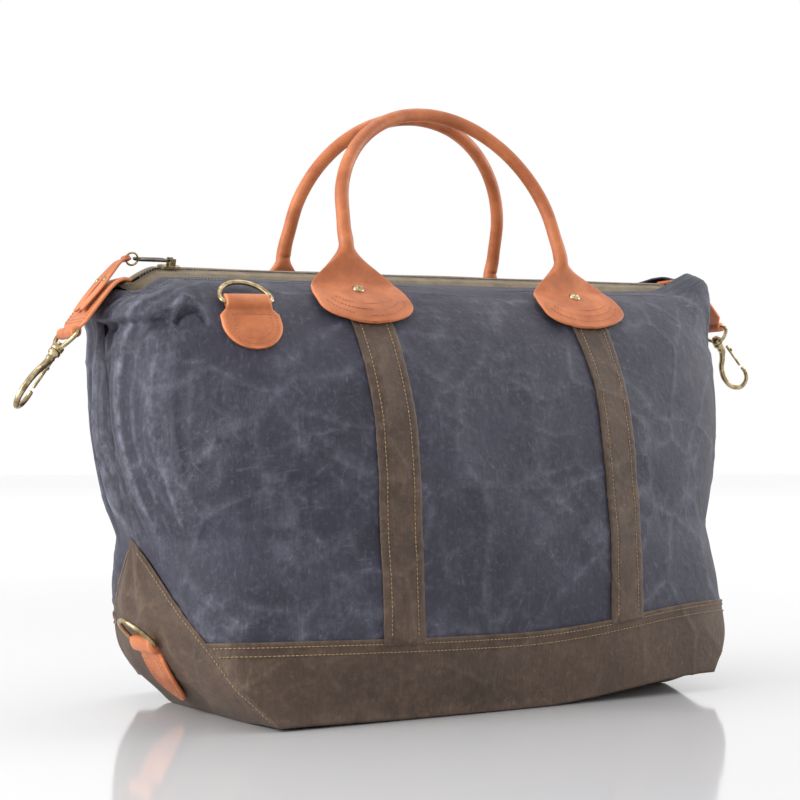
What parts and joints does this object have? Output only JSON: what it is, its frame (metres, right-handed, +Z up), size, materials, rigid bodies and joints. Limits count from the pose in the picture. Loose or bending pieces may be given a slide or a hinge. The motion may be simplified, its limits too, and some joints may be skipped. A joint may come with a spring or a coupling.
{
  "type": "weekender bag",
  "caption": "Soft waxed canvas travel bag with a zip top, rolled leather handles, leather tabs, D-rings and a swivel snap hook at each end.",
  "frame": {"origin": "on the floor under the middle of the base", "axes": "+X along the bag to the viewer's right, +Y to its back, +Z up"},
  "size_m": [0.7864, 0.2871, 0.5267],
  "materials": {
    "waxed_navy": "waxed canvas, dull sheen, creased",
    "waxed_olive": "waxed canvas, dull sheen, rubbed",
    "tan_leather": "smooth oiled leather",
    "antique_brass": "antiqued, satin",
    "dark_metal": "dark bronze, satin",
    "zip_tape": "woven tape",
    "cotton_lining": "plain cotton"
  },
  "bodies": {
    "bag": {"front_panel": "waxed_navy", "back_panel": "waxed_navy", "base_wrap": "waxed_olive", "left_end_gusset": "waxed_olive", "right_end_gusset": "waxed_olive", "front_strap_left": "waxed_olive", "front_strap_right": "waxed_olive", "back_strap_left": "waxed_olive", "back_strap_right": "waxed_olive", "front_lining": "cotton_lining", "back_lining": "cotton_lining", "front_zip_tape": "zip_tape", "back_zip_tape": "zip_tape", "front_zip_teeth": "dark_metal", "back_zip_teeth": "dark_metal", "front_handle_tab_left": "tan_leather", "front_handle_tab_right": "tan_leather", "back_handle_tab_left": "tan_leather", "back_handle_tab_right": "tan_leather", "front_ring_tab": "tan_leather", "back_ring_tab": "tan_leather", "left_ring_tab": "tan_leather", "right_ring_tab": "tan_leather", "front_handle_rivet_left": "antique_brass", "front_handle_rivet_right": "antique_brass", "back_handle_rivet_left": "antique_brass", "back_handle_rivet_right": "antique_brass"},
    "front_handle_body": {"front_handle": "tan_leather"},
    "back_handle_body": {"back_handle": "tan_leather"},
    "slider": {"zip_slider": "antique_brass"},
    "pull_bar": {"zip_pull_bar": "dark_metal"},
    "pull_ring": {"zip_pull_ring": "antique_brass"},
    "pull_leather": {"zip_pull_leather": "tan_leather", "zip_pull_rivet_front": "antique_brass", "zip_pull_rivet_back": "antique_brass"},
    "left_tab": {"left_end_tab": "tan_leather"},
    "left_loop": {"left_hook_loop": "antique_brass"},
    "left_hook": {"left_hook_body": "antique_brass"},
    "left_gate": {"left_hook_gate": "antique_brass"},
    "right_tab": {"right_end_tab": "tan_leather"},
    "right_loop": {"right_hook_loop": "antique_brass"},
    "right_hook": {"right_hook_body": "antique_brass"},
    "right_gate": {"right_hook_gate": "antique_brass"},
    "front_ring": {"front_d_ring": "antique_brass"},
    "back_ring": {"back_d_ring": "antique_brass"},
    "left_ring": {"left_d_ring": "antique_brass"},
    "right_ring": {"right_d_ring": "antique_brass"}
  },
  "joints": [
    {"name": "front_handle_swing", "type": "hinge", "parent": "bag", "child": "front_handle_body", "pos_m": [0, -0.0555, 0.392], "axis": [1, 0, 0], "range_deg": [0, 150]},
    {"name": "back_handle_swing", "type": "hinge", "parent": "bag", "child": "back_handle_body", "pos_m": [0, 0.0695, 0.392], "axis": [-1, 0, 0], "range_deg": [0, 150]},
    {"name": "zip_slide", "type": "slide", "parent": "bag", "child": "slider", "axis": [0.9994, 0, 0.035], "range_m": [0, 0.495], "deforming": ["zip_pull_leather", "zip_pull_rivet_front", "zip_pull_rivet_back"]},
    {"name": "pull_bar_flip", "type": "hinge", "parent": "slider", "child": "pull_bar", "pos_m": [-0.25212, 0.00429, 0.37292], "axis": [-0.0115, 0.9439, 0.33], "range_deg": [0, 175]},
    {"name": "pull_ring_swing", "type": "hinge", "parent": "pull_bar", "child": "pull_ring", "pos_m": [-0.2821, 0.00429, 0.37187], "axis": [-0.0115, 0.9439, 0.33], "range_deg": [0, 35]},
    {"name": "pull_leather_swing", "type": "hinge", "parent": "pull_ring", "child": "pull_leather", "pos_m": [-0.293, 0.00413, 0.3715], "axis": [0, 1, 0], "range_deg": [0, 60]},
    {"name": "left_tab_lift", "type": "hinge", "parent": "bag", "child": "left_tab", "pos_m": [-0.292, 0.007, 0.35678], "axis": [0, 1, 0], "range_deg": [0, 50]},
    {"name": "right_tab_lift", "type": "hinge", "parent": "bag", "child": "right_tab", "pos_m": [0.292, 0.007, 0.39142], "axis": [0, -1, 0], "range_deg": [0, 40]},
    {"name": "left_loop_swing", "type": "hinge", "parent": "left_tab", "child": "left_loop", "pos_m": [-0.34, 0.007, 0.30878], "axis": [0, 1, 0], "range_deg": [-36, 40]},
    {"name": "right_loop_swing", "type": "hinge", "parent": "right_tab", "child": "right_loop", "pos_m": [0.35205, 0.007, 0.34452], "axis": [0, -1, 0], "range_deg": [-36, 40]},
    {"name": "left_hook_spin", "type": "hinge", "parent": "left_loop", "child": "left_hook", "pos_m": [-0.34, 0.007, 0.30878], "axis": [0.5878, 0, 0.809], "continuous": true},
    {"name": "right_hook_spin", "type": "hinge", "parent": "right_loop", "child": "right_hook", "pos_m": [0.35205, 0.007, 0.34452], "axis": [-0.5878, 0, 0.809], "continuous": true},
    {"name": "left_gate_press", "type": "hinge", "parent": "left_hook", "child": "left_gate", "pos_m": [-0.35236, 0.01257, 0.28574], "axis": [-0.6823, 0.5373, 0.4957], "range_deg": [0, 24], "stiffness_Nm_per_rad": 0.05, "springref_deg": -17.19},
    {"name": "right_gate_press", "type": "hinge", "parent": "right_hook", "child": "right_gate", "pos_m": [0.37178, 0.00345, 0.32684], "axis": [0.4347, 0.8434, 0.3158], "range_deg": [0, 24], "stiffness_Nm_per_rad": 0.05, "springref_deg": -17.19},
    {"name": "front_ring_swing", "type": "hinge", "parent": "bag", "child": "front_ring", "pos_m": [-0.22264, -0.07608, 0.33378], "axis": [0.9907, -0.1335, 0.0258], "range_deg": [0, 160]},
    {"name": "back_ring_swing", "type": "hinge", "parent": "bag", "child": "back_ring", "pos_m": [0.22254, 0.08779, 0.34477], "axis": [-0.991, 0.1335, -0.0118], "range_deg": [0, 160]},
    {"name": "left_ring_swing", "type": "hinge", "parent": "bag", "child": "left_ring", "pos_m": [-0.27564, 0.00019, 0.0591], "axis": [0, -1, 0], "range_deg": [-12, 130]},
    {"name": "right_ring_swing", "type": "hinge", "parent": "bag", "child": "right_ring", "pos_m": [0.27564, 0.00019, 0.05911], "axis": [0, 1, 0], "range_deg": [-12, 130]}
  ]
}
